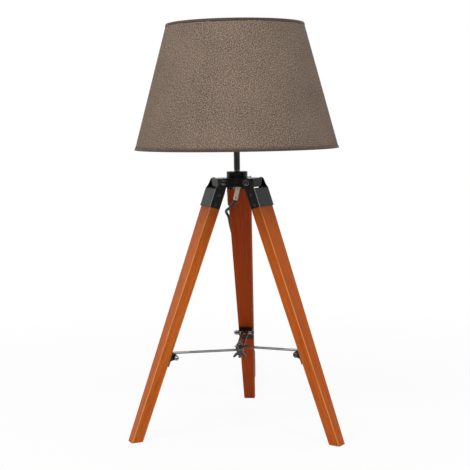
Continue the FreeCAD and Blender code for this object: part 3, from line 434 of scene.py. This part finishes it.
class Nodes:
    """A tree of nodes. Each is added by its type, with its settings and its sockets' values or fields."""

    def __init__(self, owner):
        owner.use_nodes = True
        self.tree = owner.node_tree

    def feed(self, node, values):
        for key, value in values.items():
            if isinstance(value, Field):
                self.tree.links.new(value.socket, node.inputs[key])
            else:
                node.inputs[key].default_value = value

    def node(self, kind, settings, values, output=0):
        made = self.tree.nodes.new("ShaderNode" + kind)
        for key, value in settings.items():
            setattr(made, key, value)
        self.feed(made, values)
        return Field(self, made.outputs[output])


class Finish(Nodes):
    """A material round the Principled shader."""

    def __init__(self, name, **values):
        self.material = bpy.data.materials.new(name)
        super().__init__(self.material)
        self.shader = self.tree.nodes["Principled BSDF"]
        self.set(**values)

    def set(self, **values):
        self.feed(self.shader, {key.replace("_", " "): value for key, value in values.items()})

    def place(self, location=(0, 0, 0), rotation=(0, 0, 0), stretch=(1, 1, 1)):
        """The point of the piece in its own frame, in metres, drawn out along the axes."""
        here = self.node("TexCoord", {}, {}, "Object")
        return self.node("Mapping", {"vector_type": "TEXTURE"},
                         {"Vector": here, "Location": location, "Rotation": rotation, "Scale": stretch})

    def noise(self, where, scale, detail=2.0):
        return self.node("TexNoise", {}, {"Vector": where, "Scale": scale, "Detail": detail})

    def mix(self, share, first, second):
        """The first colour, or as much of the second as the share says."""
        return self.node("Mix", {"data_type": "RGBA"}, {0: share, 6: first, 7: second}, 2)

    def bump(self, height, distance):
        return self.node("Bump", {}, {"Height": height, "Distance": distance})


def colour(red, green, blue):
    """A screen colour, 0 to 255, as the light it stands for."""
    share = np.array([red, green, blue]) / 255
    return (*np.where(share <= 0.04045, share / 12.92, ((share + 0.055) / 1.055) ** 2.4), 1.0)


def lighter(base, times, more=0.0):
    """A colour made lighter, or darker by less than 1, with a little added to all three."""
    return (*(min(1.0, times * c + more) for c in base[:3]), 1.0)


def dress(finish, *pieces):
    for piece in pieces:
        piece = nodes[piece] if isinstance(piece, str) else piece
        piece.data.materials.clear()
        piece.data.materials.append(finish.material)


print("a screen grey of 128 is a light of %.3f" % colour(128, 128, 128)[0])


# %% [markdown]
# ### The legs' wood
#
# The legs are a pale hardwood under a warm brown stain and a satin varnish. Each is cut from its own
# board, so the grain is worked out in the leg's own frame, which leans with it: fine fibres along the
# leg, growth lines that wander, short dark pores, and a slow change from one end to the other. The top
# end is painted nearly black, as painted shade under the ferrule. The long corners get a pale line, a
# painted highlight where the rounded corners catch the light.

# %% Stained wood
LEG_TILT, HINGE_R, HINGE_Z = math.radians(20.4), 0.0325, 0.4017
LEG_HALF_THICK, FOOT_TAPER, EASED_EDGE = 0.0088, 0.0236, 0.0016
LEG_HALF_WIDTH_AT_HINGE, DARK_END_Z = 0.0194, -0.0146
LEG_AZIMUTHS = {"left": 210.0, "right": 330.0, "rear": 90.0}
PORE, CORNER_HIGHLIGHT, TOP_END_SHADE = colour(70, 28, 8), colour(240, 168, 104), colour(24, 14, 10)


def on_leg(finish, side, stretch=(1, 1, 1)):
    """The point in a leg's own frame: out from its middle, across it, and up along it from the hinge."""
    azimuth = math.radians(LEG_AZIMUTHS[side])
    hinge = (HINGE_R * math.cos(azimuth), AXIS_Y + HINGE_R * math.sin(azimuth), HINGE_Z)
    return finish.place(hinge, (0.0, -LEG_TILT, azimuth), stretch)


def leg_axes(finish, side):
    """How far out from the leg's middle, across it and up along it a point is, as three fields."""
    own = on_leg(finish, side)
    return [finish.node("SeparateXYZ", {}, {"Vector": own}, axis) for axis in "XYZ"]


def on_corners(out, across, half_thick, half_width, reach):
    """1 on the long corners, where both distances from the middle are the greatest."""
    near_side = (across.math("ABSOLUTE") - half_width).between(-reach, -0.4 * reach)
    return near_side * out.math("ABSOLUTE").between(half_thick - reach, half_thick - 0.4 * reach)


def stained_wood(side, light, dark, corner_glint):
    """Stain over grain, with a painted highlight along the long corners and painted shade at the top end. The
    last argument is how strong the painted highlight on the corners is.
    """
    wood = Finish("stained_wood_" + side, Specular_IOR_Level=0.09)
    fibres = wood.noise(on_leg(wood, side, (1, 1, 28)), 900, 3)
    pores = wood.noise(on_leg(wood, side, (1, 1, 9)), 1500, 1).between(0.62, 0.72)
    drift = wood.noise(on_leg(wood, side, (1, 1, 6)), 26, 2)
    out, across, up = leg_axes(wood, side)
    rings = (across * 900 + out * 500 + drift * 22).math("SINE") * 0.12 + 0.3
    tone = fibres.between(0.3, 0.7) * 0.45 + rings * 0.6 + drift * 0.45
    stain = wood.mix(tone.between(0.2, 0.95), dark, light)
    pored = wood.mix(pores * 0.35, stain, PORE)
    # Painted highlight: the rounded long corners are made lighter, where they catch the light.
    lit_corners = on_corners(out, across, LEG_HALF_THICK, up * FOOT_TAPER + LEG_HALF_WIDTH_AT_HINGE, EASED_EDGE)
    highlighted = wood.mix(lit_corners * fibres.between(0.1, 0.5) * corner_glint, pored, CORNER_HIGHLIGHT)
    # Painted shade: the top end of the leg under the ferrule is made nearly black.
    shaded_top_end = up.between(DARK_END_Z - 0.0006, DARK_END_Z) * out.between(-0.0072, -0.006)
    wood.set(Base_Color=wood.mix(shaded_top_end * 0.94, highlighted, TOP_END_SHADE), Roughness=fibres * 0.16 + 0.34,
             Normal=wood.bump(fibres - pores * 0.6, 0.00012))
    return wood


# The rear leg gets a darker stain, painted shade for the leg that stands back in the shade, and less of the
# painted highlight on its corners.
for side, light, dark, corner_glint in (
    ("left", colour(210, 110, 40), colour(164, 72, 14), 0.7),
    ("right", colour(210, 106, 38), colour(164, 70, 14), 0.7),
    ("rear", colour(170, 70, 18), colour(134, 48, 8), 0.15),
):
    dress(stained_wood(side, light, dark, corner_glint), "leg_" + side)
print("stained", len(LEG_AZIMUTHS), "legs")

# %% [markdown]
# ### Ironwork
#
# The hub is cast and painted gloss black. The ferrules are sheet with a duller coat, and each bend gets a
# thin bright line, a painted highlight where the rounded bend catches the light. The straps are plated
# dark. Nuts are bright plated steel, brushed by the tool that turned them, and the hinge bolts are blackened.

# %% Paint
FERRULE_HALF_WIDTH, FERRULE_HALF_THICK, BEND = 0.0199, 0.0103, 0.0011
BEND_HIGHLIGHT = colour(206, 208, 204)


def every(stem):
    """The names of the three pieces of one kind, a piece for each leg."""
    return [stem + side for side in LEG_AZIMUTHS]


def painted(name, base, roughness, grain, depth, shine=0.3, highlight_on=None):
    """A coat of paint: a fine orange peel, and duller patches. On a leg's ferrule the bends get a painted
    highlight.
    """
    paint = Finish(name, Specular_IOR_Level=shine)
    where = paint.place()
    peel, patches = paint.noise(where, grain, 2), paint.noise(where, 60, 3)
    shade = paint.mix(patches.between(0.35, 0.7), base, lighter(base, 1.6, 0.002))
    if highlight_on:
        out, across, _ = leg_axes(paint, highlight_on)
        # Painted highlight: a pale, partly metallic line along the ferrule's rounded bends, where they catch
        # the light.
        bends = on_corners(out, across, FERRULE_HALF_THICK, FERRULE_HALF_WIDTH, BEND)
        bare = bends * patches.between(0.2, 0.45)
        shade = paint.mix(bare * 0.9, shade, BEND_HIGHLIGHT)
        paint.set(Metallic=bare * 0.2)
    paint.set(Base_Color=shade, Roughness=patches * 0.18 + roughness, Normal=paint.bump(peel, depth))
    return paint


dress(painted("gloss_black", colour(20, 21, 20), 0.16, 1400, 0.00002, 0.2), "hub_casting", "grub_screw")
for side in LEG_AZIMUTHS:
    ferrule_paint = painted("satin_black_" + side, colour(12, 14, 14), 0.3, 2200, 0.00003, highlight_on=side)
    dress(ferrule_paint, "ferrule_" + side)
dress(painted("rivet_black", colour(46, 48, 50), 0.3, 2200, 0.00003), *every("ferrule_rivets_"))
dress(painted("hinge_black", colour(20, 22, 20), 0.34, 1800, 0.00002),
      *every("spread_bracket_"), *every("bracket_screws_"))
print("painted the hub, the ferrules and the brackets")


# %% Plating
def plated(name, base, roughness, marks):
    """A bright metal: fine marks that turn its roughness, and faint clouding."""
    metal = Finish(name, Metallic=1.0)
    where = metal.place(stretch=(1, 1, 6))
    fine, cloud = metal.noise(where, marks, 2), metal.noise(where, 140, 3)
    tint = metal.mix(cloud.between(0.3, 0.75), base, lighter(base, 0.72))
    metal.set(Base_Color=tint, Roughness=fine * 0.2 + roughness, Normal=metal.bump(fine, 0.00002))
    return metal


dark_plate = plated("dark_plate", colour(84, 83, 80), 0.2, 2600)
bright_plate = plated("bright_plate", colour(156, 156, 152), 0.12, 2400)
dress(plated("strap_plate", colour(118, 118, 116), 0.14, 2600), *every("strap_"))
dress(dark_plate, "wing_nut", "centre_bolt", "centre_washers", "stem_tube", "hub_nut", *every("spread_pin_"))
dress(plated("screw_black", colour(96, 96, 93), 0.16, 2600), *every("hinge_bolt_"))
dress(bright_plate, *every("hinge_nut_"), *every("pin_nut_"), "stem_nipple", "shade_spider", "plug_pins",
      "shade_top_ring", "shade_bottom_ring")
dress(plated("tab_nickel", colour(250, 234, 212), 0.42, 1500), "cord_tab")
dress(plated("contact_brass", colour(214, 176, 96), 0.25, 1800), "holder_contacts")
print("plated the straps, the stem, the screws and the rings")

# %% [markdown]
# ### Plastic and ceramic
#
# The cord's sheath, its sleeves and the plug are soft black PVC. The switch and the lamp holder are harder
# and shinier mouldings, and the holder's core is white glazed ceramic. One finish serves them all, since
# they differ only in colour, in shine and in how fine the skin left by the mould is.

# %% Moulded pieces
def moulded(name, base, roughness, grain=2600, depth=0.00004, clouding=1.35):
    """Moulded plastic: a fine skin of texture, and faint clouding."""
    plastic = Finish(name)
    where = plastic.place()
    skin, cloud = plastic.noise(where, grain, 2), plastic.noise(where, 90, 2)
    shade = plastic.mix(cloud.between(0.3, 0.7), base, lighter(base, clouding, 0.002))
    plastic.set(Base_Color=shade, Roughness=skin * 0.14 + roughness, Normal=plastic.bump(skin, depth))
    return plastic


dress(moulded("black_pvc", colour(20, 20, 21), 0.42), mains_cord, *sleeves, "inner_cable")
dress(moulded("black_housing", colour(30, 30, 31), 0.34), "switch_base", "switch_cover", "plug_body")
dress(moulded("rocker_black", colour(38, 38, 40), 0.22, 1200, 0.00001), "switch_rocker")
dress(moulded("holder_black", colour(34, 34, 35), 0.3), "holder_cap", "holder_skirt", "shade_ring")
dress(moulded("ceramic", colour(226, 222, 212), 0.2, 700, 0.00002), "holder_core")
print("moulded the cord's sheath, the switch, the plug and the holder")

# %% [markdown]
# ### Cloth
#
# The linen is a plain weave of mixed brown and grey yarns. Two sets of threads cross on the flat cut:
# wherever the sum of the thread numbers is even the warp lies on top, and otherwise the weft. Each thread
# has its own tone, and swells and thins along its length, which gives the cloth its flecked look.

# %% Linen
THREAD, SLUB_WIDE, SLUB_LONG = 0.00062, 0.0012, 0.009


def linen(name, light, dark, flecks):
    """Two crossing sets of threads, each with its own tone. light, dark and flecks are the yarns' colours."""
    cloth = Finish(name, Specular_IOR_Level=0.06)
    flat = cloth.node("UVMap", {"uv_map": "cloth"}, {})
    x = cloth.node("SeparateXYZ", {}, {"Vector": flat}, "X") * (1 / THREAD)
    y = cloth.node("SeparateXYZ", {}, {"Vector": flat}, "Y") * (1 / THREAD)
    warp_on_top = (x.math("FLOOR") + y.math("FLOOR")).math("MODULO", 2).math("ABSOLUTE")
    warp_round = (x * math.pi).math("SINE").math("ABSOLUTE")
    weft_round = (y * math.pi).math("SINE").math("ABSOLUTE")
    height = warp_on_top * warp_round + (1 - warp_on_top) * weft_round
    slubs = []
    for stretch in ((SLUB_WIDE, SLUB_LONG, 1), (SLUB_LONG, SLUB_WIDE, 1)):
        drawn = cloth.node("Mapping", {"vector_type": "TEXTURE"}, {"Vector": flat, "Scale": stretch})
        slubs.append(cloth.noise(drawn, 1.0, 3))
    yarn = warp_on_top * slubs[0] + (1 - warp_on_top) * slubs[1]
    fleck = cloth.noise(flat, 640, 2).between(0.42, 0.66)
    cloud = cloth.noise(flat, 16, 3)
    tone = (yarn * 0.9 + cloud * 0.35 + height * 0.15).between(0.5, 0.9)
    woven = cloth.mix(tone, dark, light)
    cloth.set(Base_Color=cloth.mix(fleck * 0.75, woven, flecks), Roughness=yarn * 0.2 + 0.6,
              Normal=cloth.bump(height + yarn * 0.6, 0.0001))
    return cloth


dress(linen("linen", colour(120, 100, 85), colour(52, 39, 31), colour(184, 166, 150)), shade_cloth)
print("the linen has %.0f threads to a centimetre" % (0.01 / THREAD))

# %% [markdown]
# The strip round the rims and the tape of the tie are too narrow for their threads to be told apart, so
# they get a fine noise. The film inside the shade is smooth and pale, to throw the light back.

# %% Strip, tape and film
def bound_cloth(name, base):
    """A narrow woven strip: fine noise for its threads, and faint clouding."""
    tape = Finish(name, Sheen_Weight=0.2, Specular_IOR_Level=0.2)
    where = tape.place()
    weave, cloud = tape.noise(where, 1600, 2), tape.noise(where, 240, 3)
    shade = tape.mix(cloud.between(0.3, 0.7), base, lighter(base, 1.6))
    tape.set(Base_Color=shade, Roughness=cloud * 0.2 + 0.7, Normal=tape.bump(weave, 0.0001))
    return tape


dress(bound_cloth("rim_strip", colour(72, 58, 49)), *rims)
dress(bound_cloth("tie_tape", colour(22, 22, 23)), hank_tie)
dress(moulded("pale_film", colour(214, 208, 196), 0.5, 900, 0.00001, 1.06), shade_film)
print("dressed", len(rims), "rims, the tie and the film")

# %% [markdown]
# ## The studio
#
# A pale floor and a white room behind the lamp, dark on the camera's side. Black ironwork is drawn by what
# it reflects: the faces towards the camera stay dark, and those that turn away catch the white room.
# One broad lamp high in front and one on each side of it light the shade and the wood. Two tall ones at the
# sides are faint, so that the shade stays darker at its edges, and one overhead lights the floor.

# %% Floor
FLOOR_SIZE = 7.0
corners = [(x * FLOOR_SIZE / 2, y * FLOOR_SIZE / 2, 0) for x, y in ((-1, -1), (1, -1), (1, 1), (-1, 1))]
floor_mesh = bpy.data.meshes.new("floor")
floor_mesh.from_pydata(corners, [], [(0, 1, 2, 3)])
floor = bpy.data.objects.new("floor", floor_mesh)
scene.collection.objects.link(floor)
floor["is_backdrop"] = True


def sees_white(tree, in_metal=1.0):
    """1 for rays that look at the background: the camera's own, and those by way of glass or metal."""
    ways = ("Camera", "Transmission", "Glossy")
    own, glass, metal = (tree.node("LightPath", {}, {}, f"Is {way} Ray") for way in ways)
    return own.math("MAXIMUM", glass).math("MAXIMUM", metal * in_metal)


paper = Finish("floor_paper", Base_Color=colour(240, 240, 240), Roughness=0.9)
FLOOR_WHITE, FLOOR_IN_METAL, WHITE_FROM, WHITE_TO = 0.9, 0.3, 0.35, 1.1
from_middle = paper.node("VectorMath", {"operation": "LENGTH"}, {0: paper.place()}, "Value")
away = from_middle.between(WHITE_FROM, WHITE_TO)
share = sees_white(paper, in_metal=FLOOR_IN_METAL) * (away * (1 - FLOOR_WHITE) + FLOOR_WHITE)
white = paper.node("Emission", {}, {"Color": (1, 1, 1, 1), "Strength": 1.0})
part_white = paper.node("MixShader", {}, {0: share, 1: Field(paper, paper.shader.outputs[0]), 2: white})
paper.feed(paper.tree.nodes["Material Output"], {"Surface": part_white})
dress(paper, floor)
print("the floor is %.0f m wide" % FLOOR_SIZE)

# %% The room
ROOM_FRONT, ROOM_REAR = 0.07, 0.38
scene.world = bpy.data.worlds.new("studio")
room = Nodes(scene.world)
room_way = room.node("TexCoord", {}, {}, "Generated")
rearward, upward = (room.node("SeparateXYZ", {}, {"Vector": room_way}, axis) for axis in "YZ")
rear_half = rearward.between(-0.35, 0.45)
light = rear_half * upward.between(-0.03, 0.3) * (ROOM_REAR - ROOM_FRONT) + ROOM_FRONT
strength = light.math("MAXIMUM", sees_white(room, in_metal=rear_half))
walls = room.node("Background", {}, {"Color": (1, 1, 1, 1), "Strength": strength})
room.feed(room.tree.nodes["World Output"], {"Surface": walls})
print("the room is %.2f in front and %.2f behind" % (ROOM_FRONT, ROOM_REAR))


# %% The lamps of the studio
def soft_lamp(name, place, aim, size, watts):
    """A soft lamp of a width and a height that looks at a point."""
    data = bpy.data.lights.new(name, "AREA")
    data.shape, data.size, data.size_y, data.energy = "RECTANGLE", *size, watts
    lamp = bpy.data.objects.new(name, data)
    way = (Vector(aim) - Vector(place)).to_track_quat("-Z", "Y").to_matrix().to_4x4()
    lamp.matrix_world = Matrix.Translation(place) @ way
    scene.collection.objects.link(lamp)


LAMPS = {
    "high_front": ((-0.2, -1.5, 2.1), (0, 0, 0.35), (1.4, 0.9), 17),
    "front_left": ((-1.3, -1.25, 2.1), (0, 0, 0.35), (0.9, 0.9), 20),
    "front_right": ((1.3, -1.3, 2.1), (0, 0, 0.35), (0.9, 0.9), 17),
    "left_side": ((-1.9, -0.1, 0.8), (0, 0, 0.35), (0.5, 1.0), 1.5),
    "right_side": ((1.9, -0.1, 0.8), (0, 0, 0.35), (0.5, 1.0), 0.8),
    "overhead": ((0, 0.3, 2.2), (0, 0, 0.3), (1.6, 1.6), 12),
}
for name, settings in LAMPS.items():
    soft_lamp(name, *settings)
print("lit by", len(LAMPS), "lamps")

# %% [markdown]
# ## Sizes
#
# Last, the dressed lamp's box is set beside that of the bare solids, and both are kept, so that any piece
# that sticks out is found. The view is plain, so a colour comes out as it is written.

# %% Sizes and the end
scene.view_settings.view_transform = "Standard"
shown_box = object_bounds()
grown = [round(1000 * (b - a), 2) for was, now in zip(cad_box, shown_box) for a, b in zip(was, now)]
print("the dressed lamp's box is past the CAD's by", grown, "mm")
